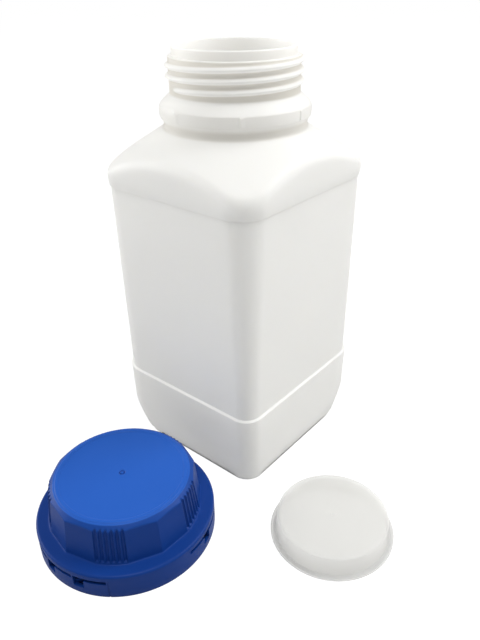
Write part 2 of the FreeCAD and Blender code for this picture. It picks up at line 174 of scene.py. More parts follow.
def corner_radius(angle, height):
    """Radius of the nearest corner. Where x and y have the same sign the corner lies on the
    parting line: 12, growing to 16 near the foot, and another 10.5 * (1 - z/14)^1.4 below
    14 mm. The other two go from 8.5 in the foot band to 13 at the shoulder."""
    climb = np.clip((height - BAND_TOP) / (PANEL_TOP - BAND_TOP), 0.0, 1.0)
    side = 14.0 - 2.0 * climb + 2.0 * np.clip(1.0 - height / BAND_TOP, 0.0, 1.0)
    side = side + 10.5 * np.clip(1.0 - height / FOOT_CURVE, 0.0, 1.0) ** 1.4
    return np.where(np.mod(angle, 180.0) < 90.0, side, 8.5 + 4.5 * climb)


def body_radius(angle, inset, height):
    """Distance from the axis to the body's outline. A flat side lies at half width / cos or half
    depth / sin. Where that passes the start of a corner, the ray meets the corner's circle:
    a + sqrt(a^2 - c^2 + r^2), with a the circle's centre along the ray and c its distance."""
    turn = np.radians(angle)
    cosine, sine = np.abs(np.cos(turn)), np.abs(np.sin(turn))
    half_x, half_y = BODY_X / 2 - inset, BODY_Y / 2 - inset
    corner = np.maximum(corner_radius(angle, height) - inset, 3.0)
    flat = np.minimum(half_x / np.maximum(cosine, 1e-9), half_y / np.maximum(sine, 1e-9))
    centre_x, centre_y = half_x - corner, half_y - corner
    along = centre_x * cosine + centre_y * sine
    beyond = along**2 - centre_x**2 - centre_y**2 + corner**2
    arc = along + np.sqrt(np.maximum(beyond, 0.0))
    in_corner = (flat * cosine > centre_x) & (flat * sine > centre_y)
    return np.where(in_corner, arc, flat)


def panel_inset(height):
    """How far the side lies inside the full width: 0 in the foot band, then the recess of the
    panels, then half of it at the shoulder ledge, easing to 0 where the band is full again."""
    lower = PANEL_RECESS * blend(BAND_TOP - 0.75, BAND_TOP + 0.1, height)
    ledge = 0.55 * blend(PANEL_TOP - 0.05, PANEL_TOP + 0.3, height)
    swell = np.clip((PANEL_TOP + 4.8 - height) / 4.5, 0.0, 1.0) ** 1.5
    upper = np.where(height > PANEL_TOP + 0.3, 0.45 * swell, PANEL_RECESS - ledge)
    return np.where(height > PANEL_TOP - 0.05, upper, lower)


for height in (0.0, FOOT_CURVE, 120.0):
    tips = body_radius(np.array([46.4, 133.6]), 0.0, height)
    print("corners at", height, "mm lie", np.round(tips, 1), "mm from the axis")

# %% [markdown]
# ## Where the columns stand
# The collar has six ratchet teeth whose steps are much finer than anything on the body, and two
# parting lines run up the bottle where the halves of the mould met. Columns crowd there and stay
# apart elsewhere. The first and last columns stand on the same parting line, a full turn apart.

# %% The bottle's columns
TEETH = np.array([-96.0, -46.5, 3.0, 84.0, 133.5, 183.0])
PARTING = -136.5


def columns_from(spacing, start, special):
    """Angles over one full turn from start: an even set, joined with the special ones."""
    even = start + np.arange(0, 360, spacing)
    extra = start + np.mod(np.asarray(special) - start, 360.0)
    angles = np.unique(np.round(np.concatenate([even, extra, [start]]), 4))
    keep = np.concatenate([[True], np.diff(angles) > 0.045])
    return np.append(angles[keep], start + 360.0)


at_step = np.array([-0.9, -0.7, -0.5, -0.3, -0.18, -0.02, 0.12, 0.35, 0.7, 1.3, 2.1, 2.8, 3.4, 4.4])
at_line = np.array([-0.7, -0.4, -0.22, -0.1, 0.0, 0.1, 0.22, 0.4, 0.7])
special = np.concatenate([(TEETH[:, None] + at_step).ravel(), PARTING + at_line,
                          PARTING + 180 + at_line])
angle = columns_from(0.9, PARTING, special)
print("columns round the bottle:", len(angle))

# %% [markdown]
# ## The neck: collar, teeth and thread
# Each tooth rises in one step and falls away in a long ramp, so the closed cap's ring can ride up
# one way and catches the other way. Between the teeth and the parting lines the collar turns
# into a plain round bead. The thread is one ridge climbing to the right at 4.15 mm a turn.

# %% The neck's formulas
COLLAR = 32.6
TOOTH_TIP, TOOTH_LAND, TOOTH_RAMP = 33.2, 3.4, 46.1
NECK_BAND_TOP = 154.8
ROOT, COLLAR_TOP = 27.65, 165.9
LEDGE, LIP, MOUTH = 180.6, 26.1, 184.3
BORE, COLLAR_INSIDE, BAND_INSIDE, BASE_INSIDE = 24.4, 30.4, 28.8, 3.5
PITCH, THREAD_DEPTH, THREAD_HALF = 4.15, 1.55, 1.55
THREAD_START, THREAD_TURNS, THREAD_HEIGHT = -95.0, 2.5, 169.0
FADE = 26.0


def tooth_reach(angle):
    """Radius of the collar's face. It rises by 0.5 over the 0.8 degrees before a step, falls from
    the tip by 0.5 over 3.4 degrees and by 0.7 over the next 46.1, and never lies inside the
    plain collar. Less 0.1 * exp(-degrees / 0.15), which softens the tip."""
    reach = np.full(np.shape(angle), COLLAR)
    for tooth in TEETH:
        past = np.mod(angle - tooth + 1e-6, 360.0)
        land = TOOTH_TIP - 0.5 * past / TOOTH_LAND - 0.10 * np.exp(-past / 0.15)
        ramp = TOOTH_TIP - 0.5 - 0.7 * (past - TOOTH_LAND) / TOOTH_RAMP
        fall = np.where(past < TOOTH_LAND, land, ramp)
        rise = COLLAR + 0.5 * blend(-0.8, 0.0, past - 360.0)
        reach = np.maximum(reach, np.where(past < TOOTH_LAND + TOOTH_RAMP, fall, rise))
    return reach


def bead_share(angle):
    """1 at the parting lines, where the collar is a round bead, and 0 along the teeth."""
    past = np.mod(angle + 99.0, 180.0)
    return 1.0 - blend(-1.0, 0.5, past) * (1.0 - blend(112.0, 132.0, past))


def thread_rise(angle, height):
    """How far the thread stands out: depth * (0.5 + 0.5 * cos(pi * distance / 1.55))^0.8, by the
    distance from a helix, at every turn of it, sinking away over 26 degrees at both ends."""
    rise = np.zeros(np.broadcast_shapes(np.shape(angle), np.shape(height)))
    for turn in range(-1, 5):
        past = angle + 360.0 * turn - THREAD_START
        share = blend(-FADE, 0.0, past) * (1.0 - blend(0.0, FADE, past - 360.0 * THREAD_TURNS))
        off = np.abs(height - THREAD_HEIGHT - PITCH * past / 360.0)
        ridge = (0.5 + 0.5 * np.cos(np.pi * np.clip(off / THREAD_HALF, 0.0, 1.0))) ** 0.8
        rise = np.maximum(rise, THREAD_DEPTH * share * ridge)
    return rise


face = tooth_reach(angle)
print("tooth reach from", face.min(), "to", round(float(face.max()), 2))

# %% [markdown]
# ## Three grids make the bottle
# The lower grid runs from the middle of the base up to the collar. The middle grid carries the
# thread, and its rows climb one pitch in every turn, so a row always follows the ridge and the
# flanks stay clean. At its two ends the rows are held at a level circle, where they weld to the
# grids below and above. The upper grid goes over the lip, down the bore and round the inside.
# One fault is left: the rows of the underside that lie above 1.21 mm are moved out to the outline
# with the sides, so the middle of the underside is open, and the inner floor shows there instead.

# %% The bottle's surface
THREAD_LOW, THREAD_HIGH = 166.6, 180.15
columns = len(angle)
full = body_radius(angle, 0.0, PANEL_TOP + 6.0)
slope = math.tan(SHOULDER_SLOPE)


def shoulder_corner(radius, top):
    """Height at which a wall at this radius meets the shoulder cone."""
    return top - (radius - NECK_BAND) * slope


def lower_rows():
    """Base, foot, body, shoulder, neck band and collar, with the panels let into the sides."""
    foot, foot_in, foot_out = (body_radius(angle, inset, 0.0) for inset in (0.0, 11.0, 8.0))
    face = tooth_reach(angle)
    bead = bead_share(angle)
    face_low = NECK_BAND_TOP + (face - NECK_BAND) * 1.5
    face_high = COLLAR_TOP - (face - ROOT) / 1.151
    tangent = SHOULDER_ROUND * math.tan((math.pi / 2 - SHOULDER_SLOPE) / 2)
    radius, height, _ = soft_profile([
        (0.0, 1.7, 0, 0, 3),
        (foot_in, 1.6, 0.8, 3, 0),
        (foot_out, 0.0, 0.8, 3, 1),
        (foot, 0.0, 1.2, 5, 9),
        (foot, FOOT_CURVE, 0, 0, 3),
        (foot, BAND_TOP - 1.1, 0, 0, 7),
        (full, BAND_TOP + 0.4, 0, 0, 9),
        (full, PANEL_TOP - 0.4, 0, 0, 7),
        (full, PANEL_TOP + 0.6, 0, 0, 7),
        (full, shoulder_corner(full, NECK_BASE), tangent, 12, 10),
        (NECK_BAND, NECK_BASE, 0.9, 4, 0),
        (NECK_BAND, NECK_BAND_TOP, 0.5, 3, 0),
        (face, face_low, 0.35 + 0.9 * bead, 4, 1),
        (face, face_high, 0.4 + 1.7 * bead, 5, 2),
        (ROOT, COLLAR_TOP, 0.65, 4, 0),
        (ROOT, THREAD_LOW, 0, 0, 0),
    ], columns)
    side = body_radius(angle[None, :], panel_inset(height), height)
    on_shoulder = (height > PANEL_TOP + 2.0) & (height < NECK_BASE - 2.0)
    radius = np.where(on_shoulder, np.minimum(radius, side), radius)
    return np.where((height > 1.21) & (height <= PANEL_TOP + 2.0), side, radius), height


def thread_rows():
    """Rows at fixed distances from the crest, at every turn, held between two level circles."""
    from_crest = np.array([-2.075, -1.6, -1.44, -1.22, -0.98, -0.72, -0.45, -0.15,
                           0.15, 0.45, 0.72, 0.98, 1.22, 1.44, 1.6])
    crest = THREAD_HEIGHT + PITCH * (angle - THREAD_START) / 360.0
    lowest = math.floor((THREAD_LOW - crest.max()) / PITCH)
    highest = math.ceil((THREAD_HIGH - crest.min()) / PITCH) + 1
    steps = (PITCH * np.arange(lowest, highest)[:, None] + from_crest).ravel()
    height = np.clip(crest[None, :] + steps[:, None], THREAD_LOW, THREAD_HIGH)
    return ROOT + thread_rise(angle[None, :], height), height


def upper_rows():
    """Ledge, lip and mouth, then the inside: bore, hollow collar, shoulder, walls and base. The
    thread's rise is added to the rows below the ledge."""
    inner = body_radius(angle, WALL, PANEL_TOP + 6.0)
    shoulder_top = NECK_BASE - WALL / math.cos(SHOULDER_SLOPE)
    radius, height, _ = soft_profile([
        (ROOT, THREAD_HIGH, 0, 0, 1),
        (ROOT - 0.15, LEDGE - 0.12, 0.1, 2, 1),
        (LIP, LEDGE, 0.2, 3, 1),
        (LIP, MOUTH, 0.6, 5, 0),
        (BORE, MOUTH, 0.5, 5, 2),
        (BORE, 163.7, 0.5, 2, 1),
        (COLLAR_INSIDE, 159.4, 0.8, 2, 1),
        (COLLAR_INSIDE, 157.2, 0.5, 2, 0),
        (BAND_INSIDE, NECK_BAND_TOP, 0.5, 2, 0),
        (BAND_INSIDE, shoulder_top + 1.35, 0.5, 2, 2),
        (inner, shoulder_corner(inner, shoulder_top), 3.0, 4, 6),
        (body_radius(angle, WALL, BASE_INSIDE), BASE_INSIDE, 2.5, 4, 2),
        (0.0, BASE_INSIDE, 0, 0, 0),
    ], columns)
    outside = np.arange(len(radius)) < 6
    rise = thread_rise(angle[None, :], height)
    radius = np.where(outside[:, None], radius + rise * (height < LEDGE - 0.05), radius)
    side = body_radius(angle[None, :], WALL + panel_inset(height), height)
    return np.where((height > 6.1) & (height < PANEL_TOP), side, radius), height


def parting_line(radius, angle):
    """A rib 0.06 mm high and 0.3 mm wide where the halves of the mould met."""
    away = np.mod(angle - PARTING + 90.0, 180.0) - 90.0
    return 0.06 * np.exp(-(np.radians(away) * radius / 0.2) ** 2)


def make_bottle():
    grids = []
    for number, (radius, height) in enumerate((lower_rows(), thread_rows(), upper_rows())):
        if number < 2:
            radius = radius + parting_line(radius, angle[None, :])
        grids.append((around_axis(radius, height, angle), None))
    joint = [grid[0] for grid in grids]
    joint[1][0], joint[1][-1] = joint[0][-1], joint[2][0]
    return make_piece("bottle_shell", grids)


bottle = make_bottle()

# %% [markdown]
# ## The cap's grip
# The grip is a barrel with five arcs, which carry six upright grooves each. Two flats that meet in
# a soft crease join each arc to the next. It widens a little towards the rim so that it leaves its
# mould. Each groove is a shallow round-bottomed channel that runs out through the bevel above.

# %% The cap's plan
CAP_X, CAP_Y, CAP_TURN = 15.0, -94.8, -51.4
CAP_TOP, CROWN, BEVEL = 29.1, 28.0, math.tan(math.radians(38.0))
GRIP, GROUP_HALF, CREASE = 29.9, 11.9, 30.2
GROUP_STEP = 72.0
GROUPS = GROUP_STEP * np.arange(5)
DRAFT, RIM_TOP, SKIRT = 2.2, 11.4, 37.6
GROOVE_STEP, GROOVE_DEPTH, GROOVE_HALF = 4.02, 0.8, 0.78
GROOVE_AT = (np.arange(6) - 2.5) * GROOVE_STEP


def from_group(angle):
    """Degrees from the middle of the nearest group, from -36 to 36."""
    return np.mod(angle + GROUP_STEP / 2, GROUP_STEP) - GROUP_STEP / 2


def grip_plan(angle):
    """Radius of the grip level with the crown, without its grooves. On an arc it is constant.
    On a flat it is (A x B) / (cos(u) * (By - Ay) - sin(u) * (Bx - Ax)), the ray's meeting with
    the line from the arc's end A to the crease B."""
    off = np.abs(from_group(angle))
    turn = np.radians(off)
    end, crease = math.radians(GROUP_HALF), math.radians(GROUP_STEP / 2)
    ax, ay = GRIP * math.cos(end), GRIP * math.sin(end)
    bx, by = CREASE * math.cos(crease), CREASE * math.sin(crease)
    flat = (ax * by - ay * bx) / (np.cos(turn) * (by - ay) - np.sin(turn) * (bx - ax))
    return np.where(off <= GROUP_HALF, GRIP, flat)


def groove_cut(angle):
    """Depth of the grooves: depth * (1 - (distance / half width)^2)^0.7 at each of the six."""
    away = np.min(np.abs(from_group(angle)[..., None] - GROOVE_AT), axis=-1)
    share = np.clip(1.0 - (np.radians(away) * GRIP / GROOVE_HALF) ** 2, 0.0, 1.0)
    return GROOVE_DEPTH * share**0.7


one_group = np.arange(0.0, GROUP_STEP, 0.5)
print("grip radius from", round(float(grip_plan(one_group).min()), 2), "to", GRIP,
      "mm, grooves", round(float(groove_cut(one_group).max()), 2), "mm deep")

# %% [markdown]
# ## The cap's skirt
# Below the rim hangs the tear-off skirt. Thirteen small windows each lead into a long slot, and a
# seam beside the last slot lets the skirt be torn open. The holes are faces left out of the outer
# and inner walls, with narrow faces between the walls all round each hole.

# %% The skirt's holes and the cap's columns
FIRST_WINDOW, WINDOW_STEP, WINDOW_HALF, SLOT_SWEEP = -20.2, 22.5, 3.6, 14.3
WINDOWS = FIRST_WINDOW - WINDOW_STEP * np.arange(13)
WINDOW_LOW, SLOT_LOW, SLOT_HIGH = 3.4, 7.1, 8.8
SEAM = FIRST_WINDOW + WINDOW_HALF + 15.5
INSIDE = SKIRT - 1.5
slot_starts = np.append(WINDOWS + WINDOW_HALF, WINDOWS[-1] - WINDOW_HALF - SLOT_SWEEP)
hole_edges = np.concatenate([WINDOWS - WINDOW_HALF, slot_starts, slot_starts + SLOT_SWEEP])
groove_columns = (GROUPS[:, None, None] + GROOVE_AT[:, None]
                  + np.array([-1.49, -1.36, -1.1, -0.75, -0.3, 0.3, 0.75, 1.1, 1.36, 1.49]))
crease_columns = GROUPS[:, None] + GROUP_STEP / 2 + np.array([-1.5, -0.5, 0.0, 0.5, 1.5])
arc_ends = GROUPS[:, None] + np.array([-12.3, -GROUP_HALF, GROUP_HALF, 12.3])
seam_columns = SEAM + np.array([-0.42, -0.32, 0.0, 0.32, 0.42])
rough = columns_from(1.5, -180.0, np.concatenate([
    groove_columns.ravel(), crease_columns.ravel(), arc_ends.ravel(), seam_columns]))
edges = -180.0 + np.mod(hole_edges + 180.0, 360.0)
clear = np.min(np.abs(rough[:, None] - edges), axis=1) > 0.12
cap_angle = np.unique(np.concatenate([rough[clear], np.round(edges, 4), [-180.0, 180.0]]))
print("columns round the cap:", len(cap_angle))


def within(angle, start, sweep):
    """True where an angle lies inside the sweep from start."""
    return np.mod(angle - start, 360.0) < sweep


# %% [markdown]
# ## The cap as one shell
# One profile runs from the moulding gate in the middle of the crown, over a low bead, the bevel and
# the grip, across the rim, down the skirt and back up inside to the middle again. The bevel meets
# the grooved wall at a height of its own at every angle, which draws the scallops over the ribs.

# %% The cap's surface
def cap_rows(angle):
    """Profile of the cap at every angle, and the first row of each of its corners."""
    plain = grip_plan(angle)
    grooved = plain - groove_cut(angle)
    per_mm = DRAFT / (CAP_TOP - RIM_TOP)
    edge = (grooved - per_mm * BEVEL * CROWN) / (1.0 - per_mm * BEVEL)
    edge_height = CAP_TOP - (edge - CROWN) * BEVEL
    low, below_rim = RIM_TOP + 1.3, RIM_TOP - 1.7
    bead, roof = CAP_TOP + 0.3, CAP_TOP - 1.8
    seam = 0.2 * within(angle, SEAM - 0.34, 0.68)
    return soft_profile([
        (0.0, CAP_TOP + 0.1, 0, 0, 1),
        (0.5, CAP_TOP + 0.1, 0.2, 2, 0),
        (0.75, CAP_TOP - 0.35, 0.12, 2, 0),
        (1.15, CAP_TOP - 0.35, 0.12, 2, 0),
        (1.5, CAP_TOP + 0.05, 0.12, 2, 0),
        (1.85, CAP_TOP, 0.1, 1, 3),
        (25.5, CAP_TOP, 0.15, 2, 0),
        (25.9, bead, 0.2, 2, 0),
        (27.1, bead, 0.2, 2, 0),
        (27.5, CAP_TOP, 0.1, 2, 0),
        (CROWN, CAP_TOP, 0.25, 4, 1),
        (edge, edge_height, 0.35, 4, 3),
        (grooved + per_mm * (CAP_TOP - low - 0.4), low + 0.4, 0, 0, 2),
        (plain + per_mm * (CAP_TOP - low + 0.2), low - 0.2, 0, 0, 0),
        (plain + DRAFT, RIM_TOP + 0.45, 0.5, 4, 2),
        (SKIRT, RIM_TOP, 1.2, 8, 0),
        (SKIRT, SLOT_HIGH + 0.15, 0, 0, 0),
        (SKIRT - seam, SLOT_HIGH, 0, 0, 0),
        (SKIRT - seam, SLOT_LOW, 0, 0, 0),
        (SKIRT - seam, WINDOW_LOW, 0, 0, 0),
        (SKIRT - seam, 0.0, 0.4, 3, 0),
        (INSIDE, 0.0, 0.25, 2, 0),
        (INSIDE, WINDOW_LOW, 0, 0, 0),
        (INSIDE, SLOT_LOW, 0, 0, 0),
        (INSIDE, SLOT_HIGH, 0, 0, 0),
        (INSIDE, below_rim, 0.3, 2, 1),
        (29.4, below_rim, 0.4, 2, 3),
        (28.6, 20.9, 0.2, 1, 0),
        (26.8, 22.5, 0.2, 1, 1),
        (26.8, roof, 0.5, 3, 2),
        (0.0, roof, 0, 0, 0),
    ], len(angle))


radius, height, corner_row = cap_rows(cap_angle)
outer_rows = corner_row[17:20]
inner_rows = corner_row[24:21:-1]
middle = (cap_angle[:-1] + cap_angle[1:]) / 2
in_window = np.any(within(middle, (WINDOWS - WINDOW_HALF)[:, None], 2 * WINDOW_HALF), axis=0)
in_slot = np.any(within(middle, slot_starts[:, None], SLOT_SWEEP), axis=0)
hole = np.stack([in_window | in_slot, in_window])
kept = np.ones((len(radius) - 1, len(cap_angle) - 1), dtype=bool)
kept[outer_rows[0]], kept[outer_rows[1]] = ~hole[0], ~hole[1]
kept[inner_rows[0] - 1], kept[inner_rows[1] - 1] = ~hole[0], ~hole[1]
print("cells left out for the holes:", int(hole.sum()))


def hole_sides():
    """Faces between the outer and inner walls along every edge between a hole and the skirt."""
    number = np.arange(radius.size).reshape(radius.shape)
    outer, inner = number[outer_rows], number[inner_rows]
    solid = np.zeros((1, hole.shape[1]), bool)
    level = np.concatenate([solid, hole, solid])
    row, column = np.nonzero(level[1:] != level[:-1])
    flat = np.stack([outer[row, column], outer[row, column + 1],
                     inner[row, column + 1], inner[row, column]], axis=-1)
    ring = np.concatenate([hole[:, -1:], hole], axis=1)
    row, column = np.nonzero(ring[:, 1:] != ring[:, :-1])
    upright = np.stack([outer[row, column], outer[row + 1, column],
                        inner[row + 1, column], inner[row, column]], axis=-1)
    return flat, upright


# %% [markdown]
# ## Fingers, dots and one shell
# Behind each window a thin finger slants inwards to catch the collar's teeth. Four tiny dots stand
# beside the ring on the crown, left by the tool. They're small closed shells of their own, sunk
# into the wall that carries them.

# %% Fingers and dots
FINGER_TIP, FINGER_LENGTH, FINGER_HALF = 32.7, 6.0, 0.45


def finger(centre):
    """A closed strip: its outline (thickness by height) carried along a line that leans in, its
    ends drawn to a point. Points are start + along * way + across * side."""
    start_angle = math.radians(centre - 4.5)
    slant = math.asin((INSIDE - FINGER_TIP) / FINGER_LENGTH)
    way = np.array([-math.sin(start_angle + slant), math.cos(start_angle + slant)])
    side = np.array([math.cos(start_angle + slant), math.sin(start_angle + slant)])
    start = (INSIDE + FINGER_HALF) * np.array([math.cos(start_angle), math.sin(start_angle)])
    along = np.array([0.0, 0.0, 0.15, 3.0, 5.8, FINGER_LENGTH, FINGER_LENGTH])[:, None]
    size = np.array([0.0, 0.85, 1.0, 0.9, 0.75, 0.5, 0.0])[:, None]
    outline = np.array([[0, 0.1], [0, 0.9], [0.08, 1], [0.92, 1], [1, 0.9], [1, 0.1],
                        [0.92, 0], [0.08, 0], [0, 0.1]])
    across = -FINGER_HALF + (outline[:, 0] - 0.5) * 2 * FINGER_HALF * size
    up = 2.9 + (outline[:, 1] - 0.5) * 4.2 * np.minimum(size * 3, 1.0)
    x = start[0] + along * way[0] + across * side[0]
    y = start[1] + along * way[1] + across * side[1]
    return np.stack([x, y, up], axis=-1)


def dot(place_angle, place_radius, size=0.28, rise=0.34):
    """A low dome: radius = size * sin(t), height = rise * cos(t), closed below the surface."""
    t = np.radians(np.array([0.0, 30, 60, 90, 120, 180]))[:, None]
    turn = np.radians(np.arange(0, 361, 30.0))[None, :]
    across = size * np.sin(t)
    x = place_radius * math.cos(math.radians(place_angle)) + across * np.cos(turn)
    y = place_radius * math.sin(math.radians(place_angle)) + across * np.sin(turn)
    return np.stack([x, y, np.broadcast_to(CAP_TOP + rise * np.cos(t), x.shape)], axis=-1)


def placed(points):
    """Points of the cap, turned and moved to where it lies."""
    turn = math.radians(CAP_TURN)
    x = CAP_X + points[..., 0] * math.cos(turn) - points[..., 1] * math.sin(turn)
    y = CAP_Y + points[..., 0] * math.sin(turn) + points[..., 1] * math.cos(turn)
    return np.stack([x, y, points[..., 2]], axis=-1)


dots = [(22.7, 25.75), (22.7, 27.2), (84.6, 25.75), (84.6, 27.2)]
cap_grids = [(placed(around_axis(radius, height, cap_angle)), kept)]
cap_grids += [(placed(finger(centre)), None) for centre in WINDOWS]
cap_grids += [(placed(dot(*place)), None) for place in dots]
cap = make_piece("cap_shell", cap_grids, hole_sides(), sharp=32.0)

# %% [markdown]
# ## The inner plug
# The plug is a thin dish of natural polyethylene, lying flange down. It's a plain turned shape: a
# conical wall that wedges in the bore, a thin flange and a flat disc with its moulding gate.

# %% The plug's surface
PLUG_X, PLUG_Y, PLUG_TOP = 86.5, -42.95, 9.25
PLUG_ROOT, PLUG_TIP, FLANGE, FLANGE_TOP = 24.3, 23.35, 26.2, 1.3
DISC, PLUG_WALL = PLUG_TOP - 0.08, 1.1
plug_angle = np.linspace(0.0, 360.0, 241)
radius_p, height_p, _ = soft_profile([
    (0.0, PLUG_TOP - 0.05, 0, 0, 0),
    (0.5, PLUG_TOP - 0.05, 0.1, 1, 0),
    (0.7, PLUG_TOP - 0.25, 0.1, 1, 0),
    (0.95, DISC, 0.1, 1, 6),
    (PLUG_TIP - 1.6, DISC, 0.2, 2, 0),
    (PLUG_TIP - 0.9, PLUG_TOP, 0.2, 2, 0),
    (PLUG_TIP, PLUG_TOP, 0.65, 7, 5),
    (PLUG_ROOT, FLANGE_TOP, 0.35, 4, 0),
    (FLANGE, FLANGE_TOP, 0.35, 4, 0),
    (FLANGE, 0.0, 0.3, 3, 0),
    (PLUG_ROOT - PLUG_WALL, 0.0, 0.3, 2, 0),
    (PLUG_ROOT - PLUG_WALL, FLANGE_TOP, 0.3, 2, 4),
    (PLUG_TIP - PLUG_WALL, PLUG_TOP - PLUG_WALL, 0.5, 4, 5),
    (0.0, PLUG_TOP - PLUG_WALL, 0, 0, 0),
], len(plug_angle))
plug = make_piece("plug_shell", [
    (around_axis(radius_p, height_p, plug_angle, (PLUG_X, PLUG_Y)), None)])

# %% [markdown]
# ## Shader maths in plain Python
# A material's nodes are easier to read as an expression. The class below wraps a socket, so that
# sums and products of sockets add Math nodes by themselves, and one method adds any other node.

# %% The material helper
class Finish:
    """The empty node tree of a material or a world, and the one way to add a node to it."""

    def __init__(self, owner):
        owner.use_nodes = True
        self.owner = owner
        self.tree = owner.node_tree
        self.tree.nodes.clear()

    def node(self, kind, settings=None, sockets=None, output=0):
        """Adds a node, sets its settings, then gives its sockets their values or links."""
        made = self.tree.nodes.new(kind)
        for key, value in (settings or {}).items():
            setattr(made, key, value)
        for key, value in (sockets or {}).items():
            if isinstance(value, Wire):
                self.tree.links.new(value.socket, made.inputs[key])
            else:
                made.inputs[key].default_value = value
        return Wire(self, made.outputs[output]) if len(made.outputs) else None


class Wire:
    """An output socket. Arithmetic on it adds Math nodes to its tree."""

    def __init__(self, finish, socket):
        self.finish = finish
        self.socket = socket

    def maths(self, operation, first, second):
        return self.finish.node("ShaderNodeMath", {"operation": operation}, {0: first, 1: second})

    def __add__(self, other):
        return self.maths("ADD", self, other)

    __radd__ = __add__

    def __sub__(self, other):
        return self.maths("SUBTRACT", self, other)

    def __rsub__(self, other):
        return self.maths("SUBTRACT", other, self)

    def __mul__(self, other):
        return self.maths("MULTIPLY", self, other)

    __rmul__ = __mul__

    def or_more(self, other):
        return self.maths("MAXIMUM", self, other)


def noise(finish, place, scale, detail=2.0, stretch=(1.0, 1.0, 1.0)):
    """Soft random pattern, from 0 to 1, with this many spots in a metre."""
    point = finish.node("ShaderNodeMapping", {}, {"Vector": place, "Scale": stretch})
    return finish.node("ShaderNodeTexNoise", {}, {
        "Vector": point, "Scale": scale, "Detail": detail})


def slope_up(value, low, high):
    """0 up to low, 1 from high on, and a soft step between them. It falls where low > high."""
    return value.finish.node("ShaderNodeMapRange", {"interpolation_type": "SMOOTHSTEP"}, {
        "Value": value, "From Min": low, "From Max": high})


def zone(value, start, full, still_full, end):
    """0 up to start, 1 from full to still_full, 0 from end on, and soft steps between them."""
    return slope_up(value, start, full) * slope_up(value, end, still_full)


def moulded(name, light, dark, roughness, settings, peel, peel_scale, height_map=None,
            painted_shade=None, through=0.0):
    """Moulded plastic: two close colours, uneven gloss and a faint skin like orange peel. Painted
    shade is a share and a darker colour laid over them. Through is the share of light let through."""
    finish = Finish(bpy.data.materials.new(name))
    place = finish.node("ShaderNodeTexCoord", output="Object")
    cloud = noise(finish, place, 35.0)
    fine = noise(finish, place, peel_scale, 3.0)
    colour = finish.node("ShaderNodeMix", {"data_type": "RGBA"}, {
        0: cloud, 6: dark, 7: light}, output=2)
    # Painted shade: a darker colour mixed over the plastic's own colour by its share.
    if painted_shade:
        share, shade = painted_shade(finish, place)
        colour = finish.node("ShaderNodeMix", {"data_type": "RGBA"}, {
            0: share, 6: colour, 7: shade}, output=2)
    gloss = roughness + 0.08 * (cloud - 0.5) + 0.05 * (fine - 0.5)
    skin = fine if height_map is None else fine + height_map(finish, place)
    bump = finish.node("ShaderNodeBump", {}, {
        "Strength": 1.0, "Distance": peel, "Height": skin})
    surface = finish.node("ShaderNodeBsdfPrincipled", {}, {
        "Base Color": colour, "Roughness": gloss, "Normal": bump, **settings})
    if through:
        shine = finish.node("ShaderNodeBsdfTranslucent", {}, {"Color": (1.0, 0.995, 0.98, 1)})
        surface = finish.node("ShaderNodeMixShader", {}, {0: through, 1: surface, 2: shine})
    finish.node("ShaderNodeOutputMaterial", {}, {"Surface": surface})
    print("finish:", name, "nodes:", len(finish.tree.nodes))
    return finish.owner


# %% [markdown]
# ## The three plastics
# The bottle's polyethylene is white and waxy: light sinks in and comes through the thin wall, so it
# gets a little subsurface light, a share of light let through and a satin gloss. The cap is the
# same plastic in blue. The plug has no pigment, so it is partly see-through, and its turned mould
# left fine rings.

# %% White, blue and natural polyethylene
def draw_lines(finish, place):
    """Faint upright streaks that the stretched tube of plastic leaves on a blown bottle."""
    return 1.5 * noise(finish, place, 60.0, 1.0, (1.0, 1.0, 0.06))


def painted_neck_shade(finish, place):
    """Painted shade, warmer and darker, laid on the neck: in the valleys of the thread, from 166 to
    180 mm up, on the lip, and round the collar and the band under it. Each is a range of distance
    from the axis times a range of height, in metres."""
    flat = finish.node("ShaderNodeVectorMath", {"operation": "MULTIPLY"}, {
        0: place, 1: (1.0, 1.0, 0.0)})
    far = finish.node("ShaderNodeVectorMath", {"operation": "LENGTH"}, {0: flat}, output=1)
    up = finish.node("ShaderNodeSeparateXYZ", {}, {"Vector": place}, output=2)
    valley = zone(far, 0.0260, 0.0270, 0.0277, 0.0285) * zone(up, 0.1655, 0.1665, 0.1800, 0.1806)
    band = slope_up(far, 0.0345, 0.0320) * zone(up, 0.1515, 0.1525, 0.1548, 0.1572)
    face = slope_up(far, 0.0316, 0.0322) * zone(up, 0.1560, 0.1572, 0.1614, 0.1624)
    lip = slope_up(far, 0.0255, 0.0260) * zone(up, 0.1803, 0.1810, 0.1836, 0.1842)
    # The colour of the painted shade, and its share: 0.8 in the valleys, 0.45 on the band, 0.15 on
    # the collar face, 0.3 on the lip.
    return 0.8 * valley + 0.45 * band + 0.15 * face + 0.3 * lip, (0.53, 0.485, 0.40, 1)


def painted_cap_shade(finish, place):
    """Painted shade, a deeper blue below the crown: most of it from 28.8 mm up downwards, and the
    rest from 27 mm."""
    up = finish.node("ShaderNodeSeparateXYZ", {}, {"Vector": place}, output=2)
    return (0.75 * slope_up(up, 0.02905, 0.0288) + 0.25 * slope_up(up, 0.0278, 0.0270),
            (0.005, 0.038, 0.215, 1))


def turned_rings(finish, place):
    """Rings about the plug's axis: 0.6 * sin(9000 * distance in metres)."""
    off = finish.node("ShaderNodeVectorMath", {"operation": "SUBTRACT"}, {
        0: place, 1: (PLUG_X * MM, PLUG_Y * MM, 0.0)})
    flat = finish.node("ShaderNodeVectorMath", {"operation": "MULTIPLY"}, {
        0: off, 1: (1.0, 1.0, 0.0)})
    far = finish.node("ShaderNodeVectorMath", {"operation": "LENGTH"}, {0: flat}, output=1)
    wave = finish.node("ShaderNodeMath", {"operation": "SINE"}, {0: far * 9000.0})
    return 0.6 * wave
